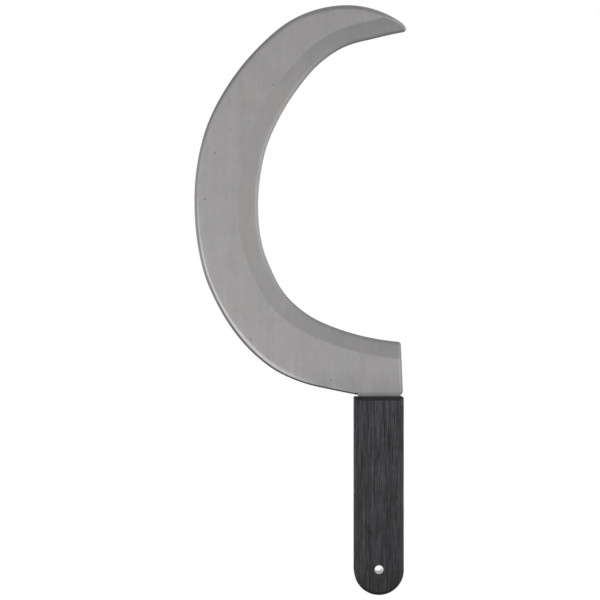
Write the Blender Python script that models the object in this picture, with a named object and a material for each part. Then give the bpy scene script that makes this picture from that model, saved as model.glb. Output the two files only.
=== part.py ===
"""Hand sickle: a crescent steel blade with a full tang between two black hardwood slabs.

+Z runs up the handle to the blade, the blade lies in the XZ plane and its cutting edge
faces the open bay on the +X side. The origin is the middle of the grip.
"""

import math

import bmesh
import bpy
from mathutils import Vector

# Grip: two slabs with straight sides and a half-round butt.
HANDLE_LENGTH = 0.127
HANDLE_WIDTH = 0.032
HANDLE_THICKNESS = 0.018
HANDLE_CHAMFER = 0.0022
TOP_CORNER_CUT = 0.0006
FIT_GAP = 0.0003
HANDLE_TOP = HANDLE_LENGTH / 2
BUTT_CENTRE = HANDLE_WIDTH / 2 - HANDLE_LENGTH / 2
BUTT_STEPS = 22

# Blade sections: flat sides, a rounded-over back and heel, and a bevel that is ground down
# to HONED_THICKNESS and then honed more steeply to the edge.
BLADE_THICKNESS = 0.0030
SPINE_THICKNESS = 0.0006
EDGE_THICKNESS = 0.0003
HONED_THICKNESS = 0.0011
HONED_WIDTH = 0.0017
SPINE_ROUND_WIDTH = 0.0038
SPINE_ROUND_SHARES = (0.0, 0.12, 0.45, 1.0)
HEEL_ROUND_WIDTH = 0.0018
BEVEL_AT_HEEL = 0.0110
BEVEL_AT_TIP = 0.0122

# Blade outline, walked from the heel's lower corner round the back to the tip and back
# along the cutting edge: each arc is (radius, degrees turned clockwise).
SPINE_START = (-0.0137, 0.0646)
SPINE_HEADING = 170.7
SPINE_ARCS = (
    (0.600, 2.2),
    (0.0946, 48.5),
    (0.1472, 39.0),
    (0.141, 44.5),
    (0.071, 37.0),
    (0.058, 36.0),
    (0.0085, 27.0),
)
NOSE_RADIUS = 0.0022
NOSE_TURN = 106.0
NOSE_FLAT = 8.0
EDGE_ARCS = ((1.400, -1.0), (0.056, -28.0), (0.124, -64.5), (0.067, -52.5), (0.156, -18.5))
HEEL_LOWER_CORNER = (0.0158, 0.0647)
HEEL_UPPER_CORNER = (0.0144, 0.0991)
HEEL_CORNER_CUT = 0.0013
ARC_STEP_DEGREES = 1.0
BLADE_STATIONS = 72
HEEL_STATION_STEPS = (0.0, 0.0004, 0.0010, 0.0018)
TIP_STATION_STEPS = (0.0040, 0.0027, 0.0017, 0.0009, 0.0004, 0.0)

# Tang: a plate a little thinner than the blade, tapering inside the grip.
TANG_THICKNESS = 0.0027
NECK_LEFT = -0.0134
NECK_RIGHT = 0.0143
TANG_TOP = 0.0690
TANG_END_RADIUS = 0.009
TANG_END_CENTRE = -0.0471
TANG_END_STEPS = 14

# Blind pins through the tang, and the thin tube that lines the lanyard hole. A thin lip of
# each slab covers the tube's end, so the tube is trapped between the slabs.
PIN_RADIUS = 0.0020
PIN_LENGTH = 0.0140
PIN_HEIGHTS = (0.046, 0.008, -0.026)
TUBE_HEIGHT = -0.0471
TUBE_BORE_RADIUS = 0.0029
TUBE_OUTER_RADIUS = 0.0033
LIP_DEPTH = 0.0015
TUBE_LENGTH = HANDLE_THICKNESS - 2 * (LIP_DEPTH + FIT_GAP)
TUBE_CHAMFER = 0.00015
ROUND_SEGMENTS = 28

SMOOTH_ANGLE = math.radians(25)

# name: (colour, metallic, roughness)
FINISHES = {
    "satin_steel": ((0.33, 0.33, 0.32, 1.0), 1.0, 0.38),
    "black_wood": ((0.045, 0.044, 0.047, 1.0), 0.0, 0.55),
    "pin_steel": ((0.45, 0.45, 0.44, 1.0), 1.0, 0.30),
    "tube_steel": ((0.55, 0.55, 0.54, 1.0), 1.0, 0.25),
}


def clear_scene():
    """Removes whatever the file holds, so that only the sickle is left."""
    for found in list(bpy.data.objects):
        bpy.data.objects.remove(found)


def finish_material(name, finish):
    """A Principled material of its own for one object."""
    colour, metallic, roughness = FINISHES[finish]
    material = bpy.data.materials.new(name)
    material.use_nodes = True
    shader = material.node_tree.nodes["Principled BSDF"]
    shader.inputs["Base Color"].default_value = colour
    shader.inputs["Metallic"].default_value = metallic
    shader.inputs["Roughness"].default_value = roughness
    return material


def loft(name, rings, finish=None, ends_meet=False):
    """A closed solid through rings of equal point count, capped unless its ends meet."""
    bm = bmesh.new()
    loops = [[bm.verts.new(point) for point in ring] for ring in rings]
    pairs = list(zip(loops, loops[1:]))
    if ends_meet:
        pairs.append((loops[-1], loops[0]))
    for lower, upper in pairs:
        for i in range(len(lower)):
            j = (i + 1) % len(lower)
            bm.faces.new((lower[i], lower[j], upper[j], upper[i]))
    if not ends_meet:
        bm.faces.new(loops[0])
        bm.faces.new(loops[-1])
    bmesh.ops.recalc_face_normals(bm, faces=bm.faces)
    mesh = bpy.data.meshes.new(name)
    bm.to_mesh(mesh)
    bm.free()
    mesh.shade_smooth()
    mesh.set_sharp_from_angle(angle=SMOOTH_ANGLE)
    made = bpy.data.objects.new(name, mesh)
    bpy.context.scene.collection.objects.link(made)
    if finish:
        mesh.materials.append(finish_material(name, finish))
    else:
        made.hide_render = True
        made.display_type = "WIRE"
    return made


def combine(target, operation, *tools):
    """Adds one exact Boolean to target for each tool."""
    for tool in tools:
        cut = target.modifiers.new(tool.name, "BOOLEAN")
        cut.operation = operation
        cut.solver = "EXACT"
        cut.object = tool


def circle(radius, height, centre_z=0.0, segments=ROUND_SEGMENTS):
    """A ring of points round the Y axis, at height along it."""
    turns = [2 * math.pi * i / segments for i in range(segments)]
    return [Vector((radius * math.cos(a), height, centre_z + radius * math.sin(a))) for a in turns]


def cross_pin(name, radius, length, centre_z, finish=None):
    """A round bar through the grip, along Y."""
    rings = [circle(radius, y, centre_z) for y in (-length / 2, length / 2)]
    return loft(name, rings, finish)


def walk(start, heading_degrees, arcs):
    """Points along a chain of arcs that meet smoothly, and the heading at its end."""
    x, z = start
    heading = math.radians(heading_degrees)
    points = [Vector((x, z))]
    for radius, turn_degrees in arcs:
        turn = math.radians(turn_degrees)
        side = math.copysign(1.0, turn)
        steps = max(1, math.ceil(abs(turn_degrees) / ARC_STEP_DEGREES))
        centre_x = x + side * radius * math.sin(heading)
        centre_z = z - side * radius * math.cos(heading)
        for i in range(1, steps + 1):
            angle = heading - turn * i / steps
            x = centre_x - side * radius * math.sin(angle)
            z = centre_z + side * radius * math.cos(angle)
            points.append(Vector((x, z)))
        heading -= turn
    return points, math.degrees(heading)


def cut_corner(corner, first, second, size):
    """Two points that cut a corner off between its neighbours first and second."""
    corner = Vector(corner)
    return [corner + (Vector(p) - corner).normalized() * size for p in (first, second)]


def blade_rails():
    """The back and the cutting edge, both from the heel to the tip's middle."""
    half_nose = ((NOSE_RADIUS, (NOSE_TURN - NOSE_FLAT) / 2),)
    spine, heading = walk(SPINE_START, SPINE_HEADING, SPINE_ARCS + half_nose)
    nose_flat, heading = walk(spine[-1], heading, ((NOSE_RADIUS, NOSE_FLAT),))
    edge, heading = walk(nose_flat[-1], heading, half_nose + EDGE_ARCS)
    edge.reverse()
    lower = cut_corner(HEEL_LOWER_CORNER, HEEL_UPPER_CORNER, SPINE_START, HEEL_CORNER_CUT)
    upper = cut_corner(HEEL_UPPER_CORNER, HEEL_LOWER_CORNER, edge[0], HEEL_CORNER_CUT)
    return lower + spine, upper + edge


def resample(points, shares):
    """Points at the given shares of a polyline's length."""
    lengths = [0.0]
    for a, b in zip(points, points[1:]):
        lengths.append(lengths[-1] + (b - a).length)
    found = []
    k = 0
    for share in shares:
        target = share * lengths[-1]
        while k < len(points) - 2 and lengths[k + 1] < target:
            k += 1
        part = (target - lengths[k]) / (lengths[k + 1] - lengths[k])
        found.append(points[k].lerp(points[k + 1], min(part, 1.0)))
    return found


def rounded(distance, width, low, high):
    """Half thickness at a distance in from an outline rounded over that width."""
    share = min(distance / width, 1.0)
    return low + (high - low) * math.sqrt(1.0 - (1.0 - share) ** 2)


def ground_half(from_edge, bevel):
    """Half thickness that the grinding and the honing leave at a distance in from the edge."""
    edge, honed, full = EDGE_THICKNESS / 2, HONED_THICKNESS / 2, BLADE_THICKNESS / 2
    if from_edge < HONED_WIDTH:
        return edge + (honed - edge) * from_edge / HONED_WIDTH
    return honed + (full - honed) * min(1.0, (from_edge - HONED_WIDTH) / (bevel - HONED_WIDTH))


def blade_section(spine_point, edge_point, share, from_heel):
    """One closed cross-section of the blade, from its back to its edge and round again."""
    across = edge_point - spine_point
    width = across.length
    bevel = BEVEL_AT_HEEL + (BEVEL_AT_TIP - BEVEL_AT_HEEL) * share
    shrink = min(1.0, 0.98 * width / (SPINE_ROUND_WIDTH + bevel))
    places = [s * SPINE_ROUND_WIDTH * shrink for s in SPINE_ROUND_SHARES]
    places += [width - bevel * shrink, width - HONED_WIDTH * shrink, width]
    full = BLADE_THICKNESS / 2
    heel = rounded(from_heel, HEEL_ROUND_WIDTH, SPINE_THICKNESS / 2, full)
    front = []
    for place in places:
        back_side = rounded(place, SPINE_ROUND_WIDTH, SPINE_THICKNESS / 2, full)
        edge_side = ground_half(width - place, bevel)
        flat = spine_point + across * (place / width)
        front.append(Vector((flat.x, -min(back_side, edge_side, heel), flat.y)))
    back = [Vector((p.x, -p.y, p.z)) for p in reversed(front)]
    return front + back


def tang_outline(grow=0.0):
    """The tang's outline in XZ, grown by a clearance for the pocket that holds it."""
    radius = TANG_END_RADIUS + grow
    turns = [math.pi * (1 + i / TANG_END_STEPS) for i in range(TANG_END_STEPS + 1)]
    end = [(radius * math.cos(a), TANG_END_CENTRE + radius * math.sin(a)) for a in turns]
    left = NECK_LEFT - grow
    right = NECK_RIGHT + grow
    return [(left, TANG_TOP), (left, HANDLE_TOP)] + end + [(right, HANDLE_TOP), (right, TANG_TOP)]


def plate(name, outline, low, high):
    """A flat plate with that XZ outline, between two heights along Y."""
    return loft(name, [[Vector((x, y, z)) for x, z in outline] for y in (low, high)])


def build_blade():
    """The crescent and its tang, one piece of steel, drilled for the pins and the tube."""
    spine, edge = blade_rails()
    length = sum((b - a).length for a, b in zip(spine, spine[1:]))
    shares = [step / length for step in HEEL_STATION_STEPS]
    shares += [i / BLADE_STATIONS for i in range(1, BLADE_STATIONS)]
    shares += [1 - step / length for step in TIP_STATION_STEPS]
    stations = zip(resample(spine, shares), resample(edge, shares), shares)
    sections = [blade_section(s, e, share, share * length) for s, e, share in stations]
    blade = loft("blade", sections, "satin_steel")
    tang = plate("tang_tool", tang_outline(), -TANG_THICKNESS / 2, TANG_THICKNESS / 2)
    combine(blade, "UNION", tang)
    combine(blade, "DIFFERENCE", *hole_cutters("blade"))
    return blade


def hole_cutters(owner):
    """Cutters for the pin holes and the tube's seat, one set for each drilled piece."""
    pin_hole = PIN_RADIUS + FIT_GAP
    pin_depth = PIN_LENGTH + 2 * FIT_GAP
    cutters = [
        cross_pin(f"{owner}_pin_cutter_{i + 1}", pin_hole, pin_depth, height)
        for i, height in enumerate(PIN_HEIGHTS)
    ]
    seat_hole = TUBE_OUTER_RADIUS + FIT_GAP
    seat_depth = TUBE_LENGTH + 2 * FIT_GAP
    cutters.append(cross_pin(f"{owner}_tube_cutter", seat_hole, seat_depth, TUBE_HEIGHT))
    return cutters


def grip_outline(inset, y):
    """The grip's outline drawn in by inset, at height y: straight sides, a half-round butt."""
    half = HANDLE_WIDTH / 2 - inset
    top = HANDLE_TOP - inset
    turns = [math.pi * (1 + i / BUTT_STEPS) for i in range(BUTT_STEPS + 1)]
    butt = [(half * math.cos(a), BUTT_CENTRE + half * math.sin(a)) for a in turns]
    left = [(-half + TOP_CORNER_CUT, top), (-half, top - TOP_CORNER_CUT)]
    right = [(half, top - TOP_CORNER_CUT), (half - TOP_CORNER_CUT, top)]
    return [Vector((x, y, z)) for x, z in left + butt + right]


def build_scale(name, side):
    """One slab of the grip, on the side -1 (front) or +1 (back) of the tang."""
    inner = side * FIT_GAP / 2
    shoulder = side * (HANDLE_THICKNESS / 2 - HANDLE_CHAMFER)
    outer = side * HANDLE_THICKNESS / 2
    rings = [
        grip_outline(0.0, inner),
        grip_outline(0.0, shoulder),
        grip_outline(HANDLE_CHAMFER, outer),
    ]
    scale = loft(name, rings, "black_wood")
    depth = TANG_THICKNESS / 2 + FIT_GAP
    pocket = plate(f"{name}_pocket_tool", tang_outline(FIT_GAP), -depth, depth)
    lip_hole = cross_pin(f"{name}_lip_cutter", TUBE_BORE_RADIUS, 2 * HANDLE_THICKNESS, TUBE_HEIGHT)
    combine(scale, "DIFFERENCE", pocket, lip_hole, *hole_cutters(name))
    return scale


def build_tube():
    """The thin sleeve through both slabs and the tang, open from end to end."""
    end = TUBE_LENGTH / 2
    profile = [
        (TUBE_OUTER_RADIUS, -end),
        (TUBE_OUTER_RADIUS, end),
        (TUBE_BORE_RADIUS + TUBE_CHAMFER, end),
        (TUBE_BORE_RADIUS, end - TUBE_CHAMFER),
        (TUBE_BORE_RADIUS, -end + TUBE_CHAMFER),
        (TUBE_BORE_RADIUS + TUBE_CHAMFER, -end),
    ]
    rings = [circle(radius, y, TUBE_HEIGHT) for radius, y in profile]
    return loft("lanyard_tube", rings, "tube_steel", ends_meet=True)


def build_sickle():
    """Every piece, standing as it hangs in the hand."""
    clear_scene()
    grip_centre = bpy.data.objects.new("grip_centre", None)
    bpy.context.scene.collection.objects.link(grip_centre)
    pieces = [
        build_blade(),
        build_scale("handle_scale_front", -1),
        build_scale("handle_scale_back", 1),
        build_tube(),
    ]
    for i, height in enumerate(PIN_HEIGHTS):
        pieces.append(cross_pin(f"tang_pin_{i + 1}", PIN_RADIUS, PIN_LENGTH, height, "pin_steel"))
    for piece in pieces:
        piece.parent = grip_centre


build_sickle()
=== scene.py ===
import math

import bmesh
import bpy
import numpy as np
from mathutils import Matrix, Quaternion, Vector, noise


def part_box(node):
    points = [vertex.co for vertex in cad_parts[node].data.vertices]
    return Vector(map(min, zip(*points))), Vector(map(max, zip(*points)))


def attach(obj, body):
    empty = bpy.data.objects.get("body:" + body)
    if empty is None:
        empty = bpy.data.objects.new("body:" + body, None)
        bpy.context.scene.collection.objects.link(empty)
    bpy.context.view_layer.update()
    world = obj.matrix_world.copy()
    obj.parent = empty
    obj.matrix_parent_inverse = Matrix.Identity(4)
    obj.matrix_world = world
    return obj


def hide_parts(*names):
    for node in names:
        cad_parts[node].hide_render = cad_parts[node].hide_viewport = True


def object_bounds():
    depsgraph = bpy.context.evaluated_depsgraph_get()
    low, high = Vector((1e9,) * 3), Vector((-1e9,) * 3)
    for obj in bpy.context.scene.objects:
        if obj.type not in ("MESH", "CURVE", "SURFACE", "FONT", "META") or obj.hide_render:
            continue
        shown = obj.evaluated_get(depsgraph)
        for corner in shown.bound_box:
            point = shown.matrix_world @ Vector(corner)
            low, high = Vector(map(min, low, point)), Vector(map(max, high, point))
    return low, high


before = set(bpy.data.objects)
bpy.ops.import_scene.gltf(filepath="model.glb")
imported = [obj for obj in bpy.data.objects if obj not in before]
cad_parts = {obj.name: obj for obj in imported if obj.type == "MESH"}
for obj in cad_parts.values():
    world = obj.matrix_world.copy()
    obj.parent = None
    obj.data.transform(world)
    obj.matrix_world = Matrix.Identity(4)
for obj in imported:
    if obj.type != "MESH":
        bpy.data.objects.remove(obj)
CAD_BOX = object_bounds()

# All lengths are in metres, in the frame's own axes: +Z up the grip, -Y the front.
GRIP_LOW, GRIP_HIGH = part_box("handle_scale_front")
_, BACK_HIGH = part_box("handle_scale_back")
TUBE_LOW, TUBE_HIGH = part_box("lanyard_tube")
_, BLADE_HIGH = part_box("blade")

HALF_WIDTH = GRIP_HIGH.x
GRIP_TOP = GRIP_HIGH.z
BUTT_CENTRE = GRIP_LOW.z + HALF_WIDTH
GRIP_FACE = BACK_HIGH.y
HOLE_CENTRE = (TUBE_LOW.z + TUBE_HIGH.z) / 2
HALF_BLADE = BLADE_HIGH.y

# Points of a mesh that are closer than this become one.
MERGE_DISTANCE = 1e-7

# Grip slabs. A slab's mesh is a grid for its flat and rings round its rim. SEAM is half the
# gap between the two slabs.
SEAM = 0.000002
CHAMFER = 0.0022
WORN_CREASE = 0.0003
SEAM_ROUND = 0.0002
CORNER_RADIUS = 0.0008
GRID_INSET = 0.0030
GRIP_COLUMNS = 150
GRIP_ROWS = 170
GRIP_CROWDING = 0.9
RIM_STEP = 0.00045

# Open grain, carved into the slabs. Each noise has a size across the grain and one along it.
WAVE_ACROSS = 0.0024
WAVE_ALONG = 0.060
PORE_ACROSS = 0.0011
PORE_ALONG = 0.026
PORE_SHIFT = 7.3
PORE_WIDTH = 0.16
PORE_SHARE = 0.55
WAVE_SHARE = 0.35
SLAB_SHIFT = 0.05
GROOVE_DEPTH = 0.00011
GROOVE_FADE = 0.001

# Lanyard hole and pins. LIP_FLARE is the worn mouth in the wood: (outside the bore, above
# the slab's flat).
BORE_RADIUS = 0.0029
TUBE_RADIUS = 0.0033
TUBE_SOFTENING = 0.00012
TUBE_SEGMENTS = 96
LIP_OVERLAP = 0.001
LIP_FLARE = (
    (0.0, -0.0004),
    (0.00004, -0.0002),
    (0.00014, -0.00006),
    (0.0003, 0.0001),
    (0.0003, 0.001),
)
PIN_RADIUS = 0.0020
ROUND_SEGMENTS = 64
POCKET_PLAY = 0.00003
HOLE_PLAY = 0.00002

# Blade outline: each arc is (radius, degrees turned clockwise), walked from the heel round
# the back to the tip, and on along the cutting edge to the heel.
SPINE_START = (-0.0137, 0.0646)
SPINE_HEADING = 170.7
SPINE_ARCS = (
    (0.600, 2.2),
    (0.0946, 48.5),
    (0.1472, 39.0),
    (0.141, 44.5),
    (0.071, 37.0),
    (0.058, 36.0),
    (0.0085, 27.0),
)
HALF_NOSE = ((0.0022, 53.0),)
EDGE_ARCS = ((1.400, -1.0), (0.056, -28.0), (0.124, -64.5), (0.067, -52.5), (0.156, -18.5))
HEEL_LOWER_CORNER = (0.0158, 0.0647)
HEEL_UPPER_CORNER = (0.0144, 0.0991)
HEEL_CORNER_RADIUS = 0.0025
ARC_STEP_DEGREES = 0.25

# Hand-ground unevenness: (share of the way from heel to tip, offset to the bay, spread).
SPINE_WANDER = (
    (0.125, 0.00034, 0.022),
    (0.200, -0.00025, 0.015),
    (0.285, 0.00046, 0.030),
    (0.380, -0.00035, 0.022),
    (0.475, 0.00045, 0.035),
    (0.612, -0.00052, 0.032),
    (0.800, -0.00042, 0.030),
    (0.940, 0.00022, 0.025),
)
EDGE_WANDER = (
    (0.150, -0.00016, 0.060),
    (0.338, 0.00088, 0.028),
    (0.600, -0.00042, 0.028),
    (0.795, -0.00066, 0.030),
    (0.912, 0.00068, 0.026),
)

# Blade sections.
SPINE_HALF = 0.00012
SPINE_ROUNDS = (
    (0.000, 0.0013),
    (0.069, 0.0013),
    (0.120, 0.0046),
    (0.180, 0.0046),
    (0.250, 0.0043),
    (0.340, 0.0034),
    (0.450, 0.0031),
    (0.750, 0.0033),
    (0.880, 0.0036),
    (0.940, 0.0030),
    (1.000, 0.0016),
)
HEEL_ROUND = 0.0024
EDGE_HALF = 0.00004
BEVEL_HALF = 0.00052
BELLY_WIDTH = 0.0027
BEVEL_WIDTHS = (
    (0.00, 0.0110),
    (0.16, 0.0107),
    (0.30, 0.0119),
    (0.46, 0.0125),
    (0.58, 0.0122),
    (0.68, 0.0128),
    (0.79, 0.0115),
    (0.90, 0.0116),
    (1.00, 0.0118),
)
BELLIES = ((0.0, 0.4), (0.3, 0.8), (0.7, 1.2), (0.8, 1.25), (0.9, 1.0))
SHOULDER_SOFTNESSES = (
    (0.00, 0.00004),
    (0.58, 0.00004),
    (0.70, 0.00012),
    (0.82, 0.00012),
    (0.87, 0.00004),
    (1.00, 0.00004),
)
SPINE_SOFTNESS = 0.00002
HEEL_SHARE = 0.15
STATIONS = 640
END_CROWDING = 0.85
LEAST_SLANT = 0.3

# Where a section has its points: shares of the rounded back, even steps over the flat,
# steps to both sides of the bevel's boundary, and shares of the bevel from the edge.
BACK_SHARES = (0, 0.006, 0.02, 0.05, 0.1, 0.17, 0.26, 0.36, 0.48, 0.6, 0.72, 0.86, 1.0)
FLAT_STEPS = 5
SHOULDER_STEP = 0.0007
SHOULDER_STEPS = (-1.6, -1.0, -0.5, 0.0, 0.5, 1.0, 1.6)
BEVEL_SHARES = (0.86, 0.73, 0.6, 0.48, 0.37, 0.28, 0.22, 0.17, 0.13, 0.09, 0.06, 0.035, 0.015, 0)
BEVEL_COLUMN = len(BACK_SHARES) + FLAT_STEPS - 1 + SHOULDER_STEPS.index(0.0)

# Steel. Each fade is (height, height of the full brightness, gain at the first height), and
# each mauve is the same for the noise that turns the steel from mauve to olive. The fade
# rows are painted shade: the face darkens towards the grip, where the handle shades it, and
# the bevel darkens towards the tip, where it faces down, and a little towards the heel.
FACE_SHADE_FADES = ((0.0660, 0.0665, 0.82), (0.0640, 0.0850, 0.86))
GROUND_SHADE_FADES = ((0.3150, 0.2600, 0.72), (0.0950, 0.1300, 0.96))
GROUND_MAUVES = ((0.2700, 0.2200, 0.70), (0.1300, 0.1700, 0.75))
MAUVE = (1.0, 0.972, 0.990)
OLIVE = (1.0, 0.990, 0.960)
STEEL_DEPTH = 0.1
ROUGHNESS_SPREAD = 0.01
PITS_PER_METRE = 24
PIT_SCATTER = 0.9
PIT_CORE = 0.008
PIT_RIM = 0.022
PIT_DEPTH = 0.35
BLADE_CREASE = 24
OTHER_CREASE = 40

# Wood.
WOOD_BLACK = (0.002, 0.0018, 0.0018)
WOOD_GREY = (0.179, 0.1727, 0.1874)
WOOD_TOP_GAIN = 2.5

# Studio. The camera looks at AIM, an (x, z). The sky's brightness in front is a product of
# two curves of (direction, gain), and it turns even between the two limits of SKY_TURN.
AIM = (-0.05063, 0.12576)
CAMERA_DISTANCE = 1.25
LENS = 116.3
DOME_RADIUS = 4.0
FLOOR_RADIUS = 3.2
FLOOR_HEIGHT = -0.30
SKY_LEVEL = 0.62
SKY_ACROSS = (
    (-1.0, 1.15),
    (-0.85, 0.86),
    (-0.6, 0.87),
    (-0.4, 0.98),
    (-0.25, 1.08),
    (-0.05, 1.03),
    (0.06, 0.94),
    (0.22, 1.18),
    (0.45, 1.45),
    (0.7, 1.15),
    (1.0, 0.95),
)
SKY_UPWARD = (
    (-1.0, 0.20),
    (-0.8, 0.24),
    (-0.6, 0.34),
    (-0.45, 0.51),
    (-0.33, 0.69),
    (-0.2, 0.93),
    (-0.1, 1.00),
    (0.05, 1.00),
    (0.15, 0.96),
    (0.3, 0.75),
    (0.45, 0.57),
    (0.6, 0.55),
    (0.8, 0.64),
    (1.0, 0.66),
)
SKY_BEHIND = 1.0
SKY_TURN = (-0.1, 0.4)
KEY_SIZE = (0.43, 1.30)
KEY_POWER = 1.8
KEY_DISTANCE = 1.7
KEY_LEAN = 13.0
KEY_DIRECTION = (-0.265, 0.915, -0.30)

# Tang. The neck slopes from the blade's thickness down to the tang's.
TANG_HALF = 0.00142
NECK_SLOPE_TOP = 0.0662
NECK_SLOPE_FOOT = 0.0632
WEDGE_SINK = 0.000006
NECK_LEFT = -0.0134
NECK_RIGHT = 0.0143
NECK_EASE = 0.00015
WEDGE_RINGS = 9
TANG_TOP = 0.0654
TANG_END_RADIUS = 0.009
TANG_END_POINTS = 33


def smooth_min(a, b, softness):
    """The lower of two surfaces, with the corner where they cross rounded off."""
    return 0.5 * (a + b - np.sqrt((a - b) ** 2 + softness**2))


def smooth_step(x, low, high):
    """Rises from 0 to 1 as x goes from low to high, with no corner at either end."""
    t = np.clip((x - low) / (high - low), 0.0, 1.0)
    return t * t * (3 - 2 * t)


def smooth_table(x, rows):
    """A value that eases from each row of (x, value) to the next."""
    value = np.full(len(x), rows[0][1])
    for (low, before), (high, after) in zip(rows, rows[1:]):
        value += (after - before) * smooth_step(x, low, high)
    return value


def walk(start, heading_degrees, arcs):
    """Points along a chain of arcs that meet smoothly, and the heading at its end."""
    x, z = start
    heading = math.radians(heading_degrees)
    points = [(x, z)]
    for radius, turn_degrees in arcs:
        turn = math.radians(turn_degrees)
        side = math.copysign(1.0, turn)
        steps = max(4, math.ceil(abs(turn_degrees) / ARC_STEP_DEGREES))
        centre_x = x + side * radius * math.sin(heading)
        centre_z = z - side * radius * math.cos(heading)
        for i in range(1, steps + 1):
            angle = heading - turn * i / steps
            x = centre_x - side * radius * math.sin(angle)
            z = centre_z + side * radius * math.cos(angle)
            points.append((x, z))
        heading -= turn
    return points, math.degrees(heading)


def round_corner(corner, before, after, radius, steps=8):
    """Points of a curve that rounds the corner between two neighbouring points."""
    corner, before, after = Vector(corner), Vector(before), Vector(after)
    a = corner + (before - corner).normalized() * radius
    b = corner + (after - corner).normalized() * radius
    curve = []
    for i in range(steps + 1):
        t = i / steps
        curve.append(tuple(a.lerp(corner, t).lerp(corner.lerp(b, t), t)))
    return curve


def along(points, shares):
    """Points at the given shares of a polyline's length."""
    points = np.array(points)
    lengths = np.concatenate(([0.0], np.cumsum(np.linalg.norm(np.diff(points, axis=0), axis=1))))
    target = np.asarray(shares) * lengths[-1]
    return np.stack([np.interp(target, lengths, points[:, k]) for k in (0, 1)], axis=1)


def wander(rail, shares, bumps):
    """Moves a rail sideways, towards the bay, by a few smooth bumps."""
    ahead = np.gradient(rail, axis=0)
    ahead /= np.linalg.norm(ahead, axis=1)[:, None]
    to_bay = np.stack([ahead[:, 1], -ahead[:, 0]], axis=1)
    offset = np.zeros(len(shares))
    for centre, height, spread in bumps:
        offset += height * np.exp(-(((shares - centre) / spread) ** 2) / 2)
    return rail + to_bay * offset[:, None]


def blade_rails():
    """The shares of the stations, and the back and the edge at each of them."""
    spine, heading = walk(SPINE_START, SPINE_HEADING, SPINE_ARCS + HALF_NOSE)
    edge, heading = walk(spine[-1], heading, HALF_NOSE + EDGE_ARCS)
    edge.reverse()
    lower = round_corner(HEEL_LOWER_CORNER, HEEL_UPPER_CORNER, SPINE_START, HEEL_CORNER_RADIUS)
    upper = round_corner(HEEL_UPPER_CORNER, HEEL_LOWER_CORNER, edge[0], HEEL_CORNER_RADIUS)
    t = np.linspace(0.0, 1.0, STATIONS)
    shares = t - END_CROWDING * np.sin(2 * math.pi * t) / (2 * math.pi)
    spine_rail = wander(along(lower + spine, shares), shares, SPINE_WANDER)
    edge_rail = wander(along(upper + edge, shares), shares, EDGE_WANDER)
    return shares, spine_rail, edge_rail


def heel_outline(edge):
    """The heel's end: a rounded corner, a straight side and another rounded corner."""
    lower = round_corner(HEEL_LOWER_CORNER, SPINE_START, HEEL_UPPER_CORNER, HEEL_CORNER_RADIUS)
    upper = round_corner(HEEL_UPPER_CORNER, HEEL_LOWER_CORNER, edge, HEEL_CORNER_RADIUS)
    return np.array(lower + upper)


def distances(points, outline):
    """How far each point is from an open outline."""
    nearest = np.full(len(points), np.inf)
    for a, b in zip(outline, outline[1:]):
        line = b - a
        share = np.clip((points - a) @ line / (line @ line), 0.0, 1.0)
        gap = np.linalg.norm(points - a - share[:, None] * line, axis=1)
        nearest = np.minimum(nearest, gap)
    return nearest


def section_places(width, spine_round, bevel):
    """Distances from the back at which one section has its points."""
    spine_side = spine_round * np.array(BACK_SHARES)
    shoulder = width - bevel + SHOULDER_STEP * np.array(SHOULDER_STEPS)
    flat = np.linspace(spine_side[-1], shoulder[0], FLAT_STEPS + 1)[1:-1]
    bevel_side = width - bevel * np.array(BEVEL_SHARES)
    places = np.concatenate([spine_side, flat, shoulder, bevel_side])
    return np.clip(np.maximum.accumulate(places), 0.0, width)


def rounded(distance, over, low):
    """Half the thickness at a distance in from an outline that is rounded over."""
    t = np.clip(distance / over, 0.0, 1.0)
    return low + (HALF_BLADE - low) * np.sqrt(1 - (1 - t) ** 2)


def ground_half(from_edge, bevel, belly):
    """Half the thickness that the grinding leaves: flat, then bellied down to the edge."""
    low = BEVEL_HALF * belly + EDGE_HALF * (1 - belly)
    half = low + (HALF_BLADE - low) * from_edge / bevel
    return half - (low - EDGE_HALF) * np.clip(1 - from_edge / BELLY_WIDTH, 0.0, 1.0) ** 2


def neck_slope(height):
    """Half the thickness that the neck's slope leaves at a height."""
    climb = np.clip((height - NECK_SLOPE_FOOT) / (NECK_SLOPE_TOP - NECK_SLOPE_FOOT), 0.0, 1.0)
    return TANG_HALF + (HALF_BLADE - TANG_HALF) * climb


def ground_faces(count):
    """The strips of a section's ring that lie on the bevel, on both sides."""
    first = BEVEL_COLUMN
    return range(first, count - 1 - first)


def closed_loft(name, rings, second=range(0)):
    """A closed mesh through rings of equal point count, capped at both ends. The strips of
    faces in second take the second material."""
    count = len(rings[0])
    verts = np.concatenate(rings)
    faces = []
    finishes = []
    for k in range(len(rings) - 1):
        for i in range(count):
            j = (i + 1) % count
            faces.append((k * count + i, k * count + j, (k + 1) * count + j, (k + 1) * count + i))
            finishes.append(int(i in second))
    faces.append(tuple(range(count))[::-1])
    faces.append(tuple(range(len(verts) - count, len(verts))))
    return solid(name, verts, faces, finishes + [0, 0])


def solid(name, verts, faces, finishes=None):
    """An object whose closed mesh has its faces pointing out."""
    mesh = bpy.data.meshes.new(name)
    mesh.from_pydata([tuple(map(float, v)) for v in verts], [], faces)
    if finishes:
        mesh.polygons.foreach_set("material_index", finishes)
    bm = bmesh.new()
    bm.from_mesh(mesh)
    bmesh.ops.remove_doubles(bm, verts=bm.verts, dist=MERGE_DISTANCE)
    bmesh.ops.recalc_face_normals(bm, faces=bm.faces)
    bm.to_mesh(mesh)
    bm.free()
    made = bpy.data.objects.new(name, mesh)
    bpy.context.scene.collection.objects.link(made)
    return made


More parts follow.
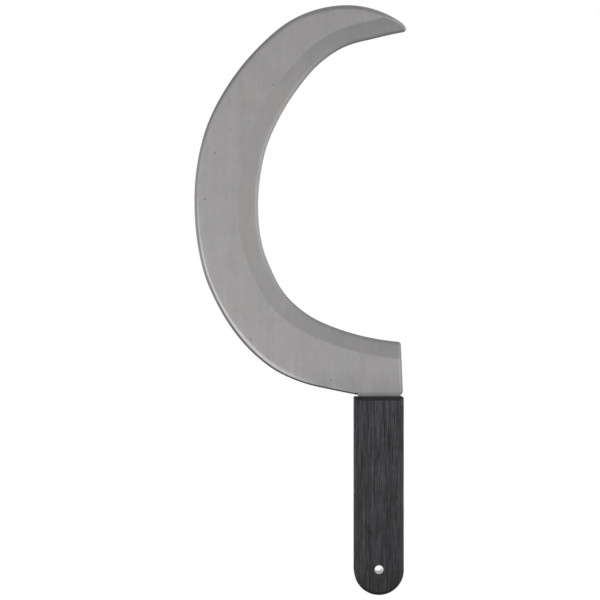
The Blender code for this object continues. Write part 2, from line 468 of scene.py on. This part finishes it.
def combine(target, *steps):
    """Applies exact Booleans to target, each (operation, tool), and removes the tools."""
    for operation, tool in steps:
        change = target.modifiers.new(tool.name, "BOOLEAN")
        change.operation = operation
        change.solver = "EXACT"
        change.object = tool
    bpy.context.view_layer.update()
    graph = bpy.context.evaluated_depsgraph_get()
    result = bpy.data.meshes.new_from_object(target.evaluated_get(graph))
    target.modifiers.clear()
    target.data = result
    for _, tool in steps:
        bpy.data.objects.remove(tool)
    return target


def shade(piece, angle_degrees):
    """Smooth shading, with a crease where two faces meet at more than an angle."""
    piece.data.shade_smooth()
    piece.data.set_sharp_from_angle(angle=math.radians(angle_degrees))


def ring_at(radius, y_place, centre_z, segments=ROUND_SEGMENTS):
    """Points of a circle round a line along Y."""
    turns = np.linspace(0, 2 * math.pi, segments, endpoint=False)
    y = np.full(segments, y_place)
    return np.stack([radius * np.cos(turns), y, centre_z + radius * np.sin(turns)], axis=1)


def bar(name, radius, low, high, centre_z):
    """A round bar along Y."""
    return closed_loft(name, [ring_at(radius, y, centre_z) for y in (low, high)])


def tang_plate(name, half, grow):
    """The tang as a plate with a half-round end, grown by a play."""
    turns = np.linspace(math.pi, 2 * math.pi, TANG_END_POINTS)
    radius = TANG_END_RADIUS + grow
    outline = [(NECK_LEFT - grow, TANG_TOP), (NECK_LEFT - grow, GRIP_TOP)]
    outline += [(radius * math.cos(a), HOLE_CENTRE + radius * math.sin(a)) for a in turns]
    outline += [(NECK_RIGHT + grow, GRIP_TOP), (NECK_RIGHT + grow, TANG_TOP)]
    rings = [np.array([(x, y, z) for x, z in outline]) for y in (-half, half)]
    return closed_loft(name, rings)


def neck_wedge():
    """The neck, from inside the grip up to inside the blade."""
    rings = []
    for height in np.linspace(NECK_SLOPE_FOOT, NECK_SLOPE_TOP, WEDGE_RINGS):
        half = float(neck_slope(height)) - WEDGE_SINK
        x = np.array([NECK_LEFT, NECK_RIGHT, NECK_RIGHT, NECK_LEFT])
        y = half * np.array([-1, -1, 1, 1])
        rings.append(np.stack([x, y, np.full(4, height)], axis=1))
    return closed_loft("neck", rings)


def cavity(name, play):
    """One tool that cuts the pins' holes and the tube's seat."""
    seat = bar(name, TUBE_RADIUS + play, TUBE_LOW.y - play, TUBE_HIGH.y + play, HOLE_CENTRE)
    steps = []
    for node in sorted(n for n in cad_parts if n.startswith("tang_pin")):
        low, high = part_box(node)
        middle = (low.z + high.z) / 2
        hole = bar(f"{name}_{node}", PIN_RADIUS + play, low.y - play, high.y + play, middle)
        steps.append(("UNION", hole))
    return combine(seat, *steps)


def slants(rail, across):
    """The sine of the angle between each section and a rail."""
    ahead = np.gradient(rail, axis=0)
    turned = np.abs(ahead[:, 0] * across[:, 1] - ahead[:, 1] * across[:, 0])
    lengths = np.linalg.norm(ahead, axis=1) * np.linalg.norm(across, axis=1)
    return np.clip(turned / np.maximum(lengths, 1e-12), LEAST_SLANT, 1.0)


def build_blade(face_material, ground_material):
    """The crescent with its tang, as one closed mesh."""
    shares, spine, edge = blade_rails()
    bevels = smooth_table(shares, BEVEL_WIDTHS)
    bellies = smooth_table(shares, BELLIES)
    rounds = smooth_table(shares, SPINE_ROUNDS)
    softnesses = smooth_table(shares, SHOULDER_SOFTNESSES)
    in_neck = smooth_step(spine[:, 0], NECK_LEFT - NECK_EASE, NECK_LEFT) * (shares < HEEL_SHARE)
    back_slants = slants(spine, edge - spine)
    edge_slants = slants(edge, edge - spine)
    heel = heel_outline(edge[4])
    rings = []
    for k, share in enumerate(shares):
        across = edge[k] - spine[k]
        width = max(np.linalg.norm(across), MERGE_DISTANCE)
        places = section_places(width, rounds[k] / back_slants[k], bevels[k] / edge_slants[k])
        flat = spine[k] + across * (places / width)[:, None]
        from_back = places * back_slants[k]
        from_edge = (width - places) * edge_slants[k]
        from_heel = distances(flat, heel) if share < HEEL_SHARE else np.full_like(places, 1.0)
        spine_half = SPINE_HALF + (HALF_BLADE - SPINE_HALF) * in_neck[k]
        back = rounded(from_back, rounds[k], spine_half)
        ground = ground_half(from_edge, bevels[k], bellies[k])
        half = smooth_min(smooth_min(HALF_BLADE, ground, softnesses[k]), back, SPINE_SOFTNESS)
        half = np.minimum(half, rounded(from_heel, HEEL_ROUND, SPINE_HALF))
        half = np.minimum(half, neck_slope(flat[:, 1]))
        front = np.stack([flat[:, 0], -half, flat[:, 1]], axis=1)
        rings.append(np.concatenate([front, front[::-1] * (1, -1, 1)]))
    made = closed_loft("steel_blade", rings, second=ground_faces(len(rings[0])))
    made.data.materials.append(face_material)
    made.data.materials.append(ground_material)
    parts = [("UNION", tang_plate("tang", TANG_HALF, 0.0)), ("UNION", neck_wedge())]
    return combine(made, *parts, ("DIFFERENCE", cavity("tang_holes", HOLE_PLAY)))


def climb():
    """Shares of the way up the slab for its rows, closest together at both ends."""
    t = np.linspace(0.0, 1.0, GRIP_ROWS)
    return t - GRIP_CROWDING * np.sin(2 * math.pi * t) / (2 * math.pi)


def grip_loop(inset):
    """The slab's outline, moved in by inset: butt, right side, top and left side."""
    half = HALF_WIDTH - inset
    top = GRIP_TOP - inset
    swing = np.sin(np.linspace(-math.pi / 2, math.pi / 2, GRIP_COLUMNS))
    butt = [(half * u, BUTT_CENTRE - half * math.sqrt(max(1 - u * u, 0.0))) for u in swing]
    right = [(half, BUTT_CENTRE + v * (top - BUTT_CENTRE)) for v in climb()[1:]]
    crown = [(half * u, top) for u in swing[-2::-1]]
    left = [(-x, z) for x, z in right[-2::-1]]
    loop = np.array(butt + right + crown + left)
    return with_round_corners(loop, half, top, CORNER_RADIUS - inset)


def with_round_corners(loop, half, top, radius):
    """Bends the loop's points near its two top corners on to a small arc."""
    if radius <= 0:
        return loop
    from_side = half - np.abs(loop[:, 0])
    from_top = top - loop[:, 1]
    near = (from_side < radius) & (from_top < radius)
    on_top = 90 - 45 * (1 - from_side / radius)
    on_side = 45 * (1 - from_top / radius)
    angle = np.radians(np.where(from_side > from_top, on_top, on_side))
    bent_x = np.sign(loop[:, 0]) * (half - radius + radius * np.cos(angle))
    bent_z = top - radius + radius * np.sin(angle)
    return np.where(near[:, None], np.stack([bent_x, bent_z], axis=1), loop)


def rim_profile():
    """(inset, height) down the slab's rim: flat, chamfer, side wall and seam, with worn corners.
    Each corner is (inset, height, radius)."""
    face = GRIP_FACE
    corners = [
        (GRID_INSET, face, 0.0),
        (CHAMFER, face, WORN_CREASE),
        (0.0, face - CHAMFER, WORN_CREASE),
        (0.0, SEAM, SEAM_ROUND),
        (GRID_INSET, SEAM, 0.0),
    ]
    places = [corners[0][:2]]
    for before, corner, after in zip(corners, corners[1:], corners[2:]):
        curve = round_corner(corner[:2], before[:2], after[:2], radius=corner[2], steps=5)
        places += between(places[-1], curve[0]) + curve
    return places


def between(a, b):
    """Even places on the way from a to b, at most RIM_STEP apart."""
    distance = math.dist(a, b)
    count = max(1, math.ceil(distance / RIM_STEP))
    run, rise = b[0] - a[0], b[1] - a[1]
    return [(a[0] + run * i / count, a[1] + rise * i / count) for i in range(1, count)]


def build_scale(name, side):
    """One slab: a grid for its flat, rings round its rim and a flat seam, grooved by the grain."""
    columns, rows = GRIP_COLUMNS, GRIP_ROWS
    butt = grip_loop(GRID_INSET)[:columns]
    top = GRIP_TOP - GRID_INSET
    verts = []
    for v in climb():
        verts += [(x, side * GRIP_FACE, z + v * (top - z)) for x, z in butt]
    faces = []
    for j in range(rows - 1):
        for i in range(columns - 1):
            a = j * columns + i
            faces.append((a, a + 1, a + columns + 1, a + columns))
    ring = list(range(columns))
    ring += [j * columns + columns - 1 for j in range(1, rows)]
    ring += [(rows - 1) * columns + i for i in range(columns - 2, -1, -1)]
    ring += [j * columns for j in range(rows - 2, 0, -1)]
    for inset, height in rim_profile()[1:]:
        start = len(verts)
        verts += [(x, side * height, z) for x, z in grip_loop(inset)]
        fresh = list(range(start, len(verts)))
        for k in range(len(ring)):
            m = (k + 1) % len(ring)
            faces.append((ring[k], ring[m], fresh[m], fresh[k]))
        ring = fresh
    faces.append(tuple(ring))
    made = solid(name, verts, faces)
    carve_grain(made, side)
    pocket = tang_plate(name + "_pocket", TANG_HALF + POCKET_PLAY, POCKET_PLAY)
    tools = [("UNION", pocket), ("UNION", lip_hole(name + "_lip", side))]
    cutter = combine(cavity(name + "_cavity", HOLE_PLAY), *tools)
    return combine(made, ("DIFFERENCE", cutter))


def lip_hole(name, side):
    """The hole's mouth in the wood, with its rim worn round."""
    rings = [ring_at(BORE_RADIUS, side * (TUBE_HIGH.y - LIP_OVERLAP), HOLE_CENTRE)]
    for out, above in LIP_FLARE:
        rings.append(ring_at(BORE_RADIUS + out, side * (GRIP_FACE + above), HOLE_CENTRE))
    return closed_loft(name, rings)


def grain_depth(x, y, z):
    """How deep the open grain is at a point: 0 is the surface and 1 the deepest."""
    wave = noise.noise((x / WAVE_ACROSS, y / WAVE_ACROSS, z / WAVE_ALONG))
    fine = noise.noise((x / PORE_ACROSS, y / PORE_ACROSS, z / PORE_ALONG + PORE_SHIFT))
    pores = math.exp(-((fine / PORE_WIDTH) ** 2))
    return PORE_SHARE * pores * (0.5 + wave) + WAVE_SHARE * abs(wave)


def carve_grain(piece, side):
    """Sinks the surface along its normals by the depth of the grain, except at the seam."""
    mesh = piece.data
    count = len(mesh.vertices)
    places = np.zeros(count * 3)
    normals = np.zeros(count * 3)
    mesh.vertices.foreach_get("co", places)
    mesh.vertex_normals.foreach_get("vector", normals)
    places = places.reshape(-1, 3)
    normals = normals.reshape(-1, 3)
    depth = np.array([grain_depth(x, y + SLAB_SHIFT * side, z) for x, y, z in places])
    depth = GROOVE_DEPTH * np.clip(depth, 0.0, 1.0)
    depth *= smooth_step(np.abs(places[:, 1]), 2 * SEAM, GROOVE_FADE)
    mesh.vertices.foreach_set("co", (places - normals * depth[:, None]).ravel())
    mesh.update()


def build_sleeve():
    """The thin tube that lines the lanyard hole, with its ends softened."""
    half = TUBE_HIGH.y
    soft = TUBE_SOFTENING
    outer = [(TUBE_RADIUS, -half + soft), (TUBE_RADIUS, half - soft), (TUBE_RADIUS - soft, half)]
    inner = [(BORE_RADIUS + soft, half), (BORE_RADIUS, half - soft), (BORE_RADIUS, -half + soft)]
    ends = [(BORE_RADIUS + soft, -half), (TUBE_RADIUS - soft, -half)]
    profile = outer + inner + ends
    count = TUBE_SEGMENTS
    verts = []
    faces = []
    for radius, y in profile:
        verts += [tuple(p) for p in ring_at(radius, y, HOLE_CENTRE, count)]
    for k in range(len(profile)):
        m = (k + 1) % len(profile)
        for i in range(count):
            j = (i + 1) % count
            faces.append((k * count + i, k * count + j, m * count + j, m * count + i))
    return solid("lanyard_sleeve", verts, faces)


def node_adder(tree):
    """A function that adds a node to a tree and fills its inputs, each with a value or with a
    link from another node's output. An input is named, or numbered as _0, _1 and so on."""

    def add(kind, settings=None, **inputs):
        node = tree.nodes.new(kind)
        for key, value in (settings or {}).items():
            setattr(node, key, value)
        for key, value in inputs.items():
            socket = node.inputs[int(key[1:])] if key[1:].isdigit() else node.inputs[key]
            if isinstance(value, bpy.types.NodeSocket):
                tree.links.new(value, socket)
            else:
                socket.default_value = value
        return node

    return add


def node_material(name, roughness, metallic, specular):
    """A Principled material, a function that adds a node to it and one that links an output
    to an input of its shader."""
    material = bpy.data.materials.new(name)
    material.use_nodes = True
    tree = material.node_tree
    shader = tree.nodes["Principled BSDF"]
    shader.inputs["Roughness"].default_value = roughness
    shader.inputs["Metallic"].default_value = metallic
    shader.inputs["Specular IOR Level"].default_value = specular

    def send(socket, name):
        tree.links.new(socket, shader.inputs[name])

    return material, node_adder(tree), send


def streaks(add, across, along_z, depth=1.0, detail=4.0, roughness=0.6, shift=0.0):
    """Noise that is drawn out along Z: so many features per metre across and along it, and
    depth times as many through the thickness as across."""
    place = add("ShaderNodeTexCoord")
    spread = add("ShaderNodeMapping", _0=place.outputs["Object"])
    spread.inputs["Scale"].default_value = (across, depth * across, along_z)
    spread.inputs["Location"].default_value = (shift, shift, shift)
    form = {"Scale": 1.0, "Detail": detail, "Roughness": roughness}
    return add("ShaderNodeTexNoise", _0=spread.outputs[0], **form).outputs[0]


def spread_range(add, value, low, high, to_low, to_high):
    """value between low and high, mapped to another range and clamped to it."""
    ranged = add("ShaderNodeMapRange", _0=value, _1=low, _2=high, _3=to_low, _4=to_high)
    return ranged.outputs[0]


def multiply(add, a, b):
    """The product of two values."""
    return add("ShaderNodeMath", {"operation": "MULTIPLY"}, _0=a, _1=b).outputs[0]


def layered(add, gain, layers):
    """gain times each layer of (value, low, high, gain at low, gain at high)."""
    for layer in layers:
        gain = multiply(add, gain, spread_range(add, *layer))
    return gain


def tint(add, value, dark, light):
    """A colour from dark to light, by a value from 0 to 1."""
    ramp = add("ShaderNodeValToRGB", _0=value)
    ramp.color_ramp.elements[0].color = (*dark, 1)
    ramp.color_ramp.elements[1].color = (*light, 1)
    return ramp.outputs[0]


def object_place(add):
    """The X, Y and Z of a point on the object."""
    return add("ShaderNodeSeparateXYZ", _0=add("ShaderNodeTexCoord").outputs["Object"]).outputs


def pits(add, depth):
    """A gain that is low in a few small spots, scattered in the XZ plane."""
    place = object_place(add)
    flat = add("ShaderNodeCombineXYZ", _0=place[0], _1=place[2]).outputs[0]
    plane = {"voronoi_dimensions": "2D"}
    cells = add("ShaderNodeTexVoronoi", plane, _0=flat, Scale=PITS_PER_METRE, Randomness=PIT_SCATTER)
    return spread_range(add, cells.outputs["Distance"], PIT_CORE, PIT_RIM, 1 - depth, 1.0)


def steel(name, level, olive, roughness, contrast, shift, shade_fades=(), mauves=()):
    """Satin steel, brushed in fine streaks along Z over faint cloudy patches, with a few pits,
    and darkened by height with painted shade from its fade rows. It is mauve where a broad
    noise is below the olive range and olive above that range. Each fade row and mauve row is
    laid out as in the steel tables at the top."""
    material, add, send = node_material(name, roughness, metallic=1.0, specular=0.5)
    fine = streaks(add, 400, 10, depth=STEEL_DEPTH, detail=2.5, shift=shift)
    cloud = streaks(add, 330, 190, depth=STEEL_DEPTH, detail=2.0, shift=shift + 3)
    broad = streaks(add, 75, 55, depth=STEEL_DEPTH, detail=3.0, shift=shift + 9)
    stain = streaks(add, 60, 45, depth=STEEL_DEPTH, detail=2.0, shift=shift + 14)
    height = object_place(add)[2]
    gain = pits(add, PIT_DEPTH * contrast)
    for value, spread in ((fine, 0.040), (cloud, 0.036), (broad, 0.062)):
        layer = (value, 0.25, 0.75, 1 - spread * contrast, 1 + spread * contrast)
        gain = layered(add, gain, [layer])
    # Painted shade: the fade rows darken the steel by height.
    gain = layered(add, gain, [(height, *fade, 1.0) for fade in shade_fades])
    stain = layered(add, stain, [(height, *mauve, 1.0) for mauve in mauves])
    hue = tint(add, spread_range(add, stain, *olive, 0.0, 1.0), MAUVE, OLIVE)
    brightness = multiply(add, gain, level)
    colour = add("ShaderNodeVectorMath", {"operation": "SCALE"}, _0=hue, Scale=brightness)
    send(colour.outputs[0], "Base Color")
    least, most = roughness - ROUGHNESS_SPREAD, roughness + ROUGHNESS_SPREAD
    send(spread_range(add, fine, 0.25, 0.75, least, most), "Roughness")
    bump = add("ShaderNodeBump", Strength=0.02, Distance=0.00003, Height=fine)
    send(bump.outputs[0], "Normal")
    return material


def black_wood(name, shift):
    """Black-stained open-grained wood: dull, with darker pores and a little darker towards the
    butt. By which way a face turns, it has a painted sheen on the grip's two sides and painted
    shade, darkest, on what faces up or down."""
    material, add, send = node_material(name, roughness=0.58, metallic=0.0, specular=0.40)
    pores = streaks(add, 2700, 60, detail=1.0, shift=shift)
    grain = streaks(add, 1800, 6, detail=1.0, shift=shift + 4)
    patch = streaks(add, 330, 200, detail=3.0, shift=shift + 8)
    large = streaks(add, 90, 40, detail=2.0, shift=shift + 12)
    height = object_place(add)[2]
    facing = add("ShaderNodeSeparateXYZ", _0=add("ShaderNodeNewGeometry").outputs["Normal"])
    sideways, up_down_shade_normal = facing.outputs[0], facing.outputs[2]
    layers = (
        (patch, 0.25, 0.75, 0.72, 1.28),
        (large, 0.30, 0.70, 0.94, 1.08),
        (pores, 0.32, 0.60, 0.25, 1.42),
        (grain, 0.36, 0.62, 0.55, 1.30),
        (height, -0.056, -0.040, 0.70, 1.0),
        (height, 0.005, 0.050, 0.90, 1.09),
        # Painted light by facing: painted shade on faces turned up or down, and a painted sheen on
        # the grip's two sides.
        (up_down_shade_normal, 0.35, 0.75, 1.0, 0.29),
        (up_down_shade_normal, -0.75, -0.35, 0.20, 1.0),
        (sideways, -0.75, -0.35, 1.28, 1.0),
        (sideways, 0.35, 0.75, 1.0, 1.25),
    )
    gain = layered(add, 1.0, layers)
    mixed = spread_range(add, gain, 0.0, WOOD_TOP_GAIN, 0.0, 1.0)
    send(tint(add, mixed, WOOD_BLACK, WOOD_GREY), "Base Color")
    send(spread_range(add, grain, 0.3, 0.7, 0.52, 0.68), "Roughness")
    bump = add("ShaderNodeBump", Strength=0.6, Distance=0.0001, Height=pores)
    send(bump.outputs[0], "Normal")
    return material


def emitter(name, strength):
    """A plain white that gives its own light."""
    material = bpy.data.materials.new(name)
    material.use_nodes = True
    shader = material.node_tree.nodes["Principled BSDF"]
    shader.inputs["Base Color"].default_value = (0, 0, 0, 1)
    shader.inputs["Specular IOR Level"].default_value = 0.0
    shader.inputs["Emission Color"].default_value = (1, 1, 1, 1)
    shader.inputs["Emission Strength"].default_value = strength
    return material


def only_for_camera(backdrop):
    """Keeps a backdrop out of the object's light, reflections and shadows."""
    backdrop.visible_diffuse = False
    backdrop.visible_glossy = False
    backdrop.visible_transmission = False
    backdrop.visible_shadow = False
    return backdrop


def build_backdrop():
    """A white studio: a pale floor far below, inside a large dome."""
    middle = (Vector(CAD_BOX[0]) + Vector(CAD_BOX[1])) / 2
    sphere = {"segments": 64, "ring_count": 32, "radius": DOME_RADIUS}
    bpy.ops.mesh.primitive_uv_sphere_add(location=middle, **sphere)
    dome = only_for_camera(bpy.context.object)
    dome.name = "studio_dome"
    dome.data.materials.append(emitter("studio_white", 1.0))
    disc = {"vertices": 96, "radius": FLOOR_RADIUS, "fill_type": "NGON"}
    bpy.ops.mesh.primitive_circle_add(location=(middle.x, 0, FLOOR_HEIGHT), **disc)
    floor = only_for_camera(bpy.context.object)
    floor.name = "studio_floor"
    floor.data.materials.append(emitter("floor_white", 1.0))


def softbox(name, size, power, place, aim, lean_degrees):
    """A large lamp that faces a point, leaning over in its own plane; size is its width and
    height."""
    data = bpy.data.lights.new(name, "AREA")
    data.shape = "RECTANGLE"
    data.size, data.size_y = size
    data.energy = power
    lamp = bpy.data.objects.new(name, data)
    bpy.context.scene.collection.objects.link(lamp)
    lamp.location = place
    facing = (Vector(aim) - Vector(place)).to_track_quat("-Z", "Y")
    leaning = Quaternion((0.0, 0.0, 1.0), math.radians(lean_degrees))
    lamp.rotation_euler = (facing @ leaning).to_euler()
    lamp.visible_camera = False
    return lamp


def build_keys():
    """One large soft lamp low on the left of the front, and its mirror image behind."""
    aim = Vector((AIM[0], 0.0, AIM[1]))
    x, y, z = Vector(KEY_DIRECTION) * KEY_DISTANCE
    softbox("key_front", KEY_SIZE, KEY_POWER, aim + Vector((x, -y, z)), aim, KEY_LEAN)
    softbox("key_back", KEY_SIZE, KEY_POWER, aim + Vector((x, y, z)), aim, -KEY_LEAN)


def build_sky():
    """Soft light from all round: even from behind, and in front strongest near the horizon
    and weakest from below."""
    world = bpy.data.worlds.new("studio_light")
    world.use_nodes = True
    bpy.context.scene.world = world
    tree = world.node_tree
    background = tree.nodes["Background"]
    background.inputs["Color"].default_value = (1, 1, 1, 1)
    add = node_adder(tree)
    direction = add("ShaderNodeSeparateXYZ", _0=add("ShaderNodeTexCoord").outputs["Generated"])

    def half_gain(axis, points):
        """Half the gain for one axis of the direction, since a curve's values stop at 1."""
        place = spread_range(add, direction.outputs[axis], -1.0, 1.0, 0.0, 1.0)
        gain = add("ShaderNodeFloatCurve", _1=place)
        curve = gain.mapping.curves[0]
        for x, y in points[1:-1]:
            curve.points.new((x + 1) / 2, y / 2)
        curve.points[0].location = (0.0, points[0][1] / 2)
        curve.points[-1].location = (1.0, points[-1][1] / 2)
        gain.mapping.update()
        return gain.outputs[0]

    quarter = multiply(add, half_gain(0, SKY_ACROSS), half_gain(2, SKY_UPWARD))
    ahead = multiply(add, quarter, 4 * SKY_LEVEL)
    behind = spread_range(add, direction.outputs[1], *SKY_TURN, 0.0, 1.0)
    mixed = add("ShaderNodeMix", _0=behind, _2=ahead, _3=SKY_BEHIND * SKY_LEVEL)
    tree.links.new(mixed.outputs[0], background.inputs["Strength"])


def build_camera():
    """The scene's camera: level and square to the blade."""
    data = bpy.data.cameras.new("camera")
    data.sensor_width = 36.0
    data.lens = LENS
    data.clip_start = 0.01
    data.clip_end = 20.0
    camera = bpy.data.objects.new("camera", data)
    bpy.context.scene.collection.objects.link(camera)
    camera.location = (AIM[0], -CAMERA_DISTANCE, AIM[1])
    camera.rotation_euler = (math.pi / 2, 0.0, 0.0)
    bpy.context.scene.camera = camera


def dress(piece, angle_degrees, material=None):
    """Smooths a finished piece and ties it to the body."""
    if material:
        piece.data.materials.clear()
        piece.data.materials.append(material)
    shade(piece, angle_degrees)
    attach(piece, "root")


face_steel = steel(
    "blade_face_steel",
    level=0.515,
    olive=(0.45, 0.75),
    roughness=0.27,
    contrast=1.0,
    shift=0.0,
    shade_fades=FACE_SHADE_FADES,
)
ground_steel = steel(
    "blade_ground_steel",
    level=0.485,
    olive=(0.25, 0.60),
    roughness=0.27,
    contrast=0.7,
    shift=31.0,
    shade_fades=GROUND_SHADE_FADES,
    mauves=GROUND_MAUVES,
)
drawn_steel = steel(
    "drawn_tube_steel",
    level=0.62,
    olive=(0.3, 0.8),
    roughness=0.30,
    contrast=0.3,
    shift=5.0,
)
pin_steel = steel(
    "drawn_pin_steel",
    level=0.50,
    olive=(0.3, 0.8),
    roughness=0.35,
    contrast=0.3,
    shift=11.0,
)
front_wood = black_wood("black_wood_front", shift=0.0)
back_wood = black_wood("black_wood_back", shift=57.0)

blade = build_blade(face_steel, ground_steel)
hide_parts("blade")
dress(blade, BLADE_CREASE)
for name, side, wood in (("front", -1, front_wood), ("back", 1, back_wood)):
    scale = build_scale("wood_scale_" + name, side)
    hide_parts("handle_scale_" + name)
    dress(scale, OTHER_CREASE, wood)
sleeve = build_sleeve()
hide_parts("lanyard_tube")
dress(sleeve, OTHER_CREASE, drawn_steel)
for node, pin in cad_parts.items():
    if node.startswith("tang_pin"):
        pin.data.materials.clear()
        pin.data.materials.append(pin_steel)

build_backdrop()
build_sky()
build_keys()
build_camera()
bpy.context.scene.view_settings.view_transform = "Standard"
